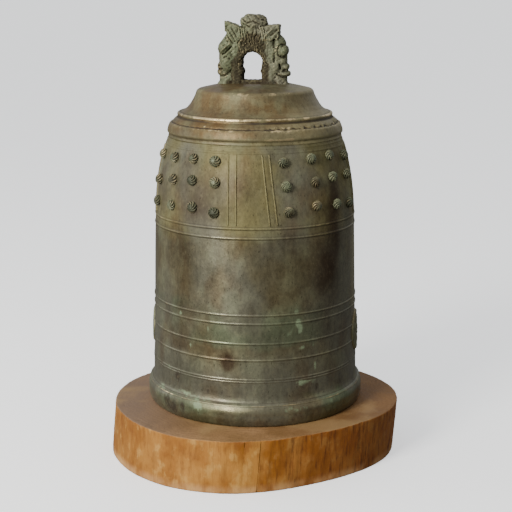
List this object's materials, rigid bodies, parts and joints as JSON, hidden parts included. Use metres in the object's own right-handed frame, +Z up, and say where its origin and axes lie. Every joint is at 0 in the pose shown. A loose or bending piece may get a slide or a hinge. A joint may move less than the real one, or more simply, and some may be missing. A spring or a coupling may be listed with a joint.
{
  "type": "temple bell",
  "caption": "Bronze temple bell with dragon-head hanging loop, boss panels, raised cords and striking seats, standing on a log-slice base.",
  "frame": {"origin": "on the slab's underside, on the bell's axis", "axes": "+Z up along the bell's axis; the hanging loop's eye runs along Y; the striking seats face -X and +X; -Y is the front"},
  "size_m": [0.3972, 0.3724, 0.604],
  "materials": {
    "wood": "dry, oiled-brown end grain on top, orange-brown side",
    "bronze_body": "aged bronze, satin, grey-green patina",
    "bronze_crown": "aged bronze, brown, handled edges bright",
    "bronze_loop": "aged bronze, matt grey-green with dark brown hollows",
    "bronze_cords": "aged bronze, satin, edges a little brighter",
    "bronze_bosses": "aged bronze, matt, pale green ribs",
    "bronze_seats": "aged bronze, satin"
  },
  "bodies": {
    "base": {"log_base": "wood"},
    "bell": {"bell_shell": "bronze_body", "crown_dome": "bronze_crown", "crown_loop": "bronze_loop", "dragon_head_left": "bronze_loop", "dragon_head_right": "bronze_loop", "loop_jewel": "bronze_loop", "cords_front": "bronze_cords", "cords_right": "bronze_cords", "cords_back": "bronze_cords", "cords_left": "bronze_cords", "bosses_front_right_lower": "bronze_bosses", "bosses_front_right_middle": "bronze_bosses", "bosses_front_right_upper": "bronze_bosses", "bosses_back_right_lower": "bronze_bosses", "bosses_back_right_middle": "bronze_bosses", "bosses_back_right_upper": "bronze_bosses", "bosses_back_left_lower": "bronze_bosses", "bosses_back_left_middle": "bronze_bosses", "bosses_back_left_upper": "bronze_bosses", "bosses_front_left_lower": "bronze_bosses", "bosses_front_left_middle": "bronze_bosses", "bosses_front_left_upper": "bronze_bosses", "striking_seat_left": "bronze_seats", "striking_seat_right": "bronze_seats"}
  },
  "joints": [
    {"name": "bell_lift", "type": "slide", "parent": "base", "child": "bell", "axis": [0, 0, 1], "range_m": [0, 0.15]}
  ]
}
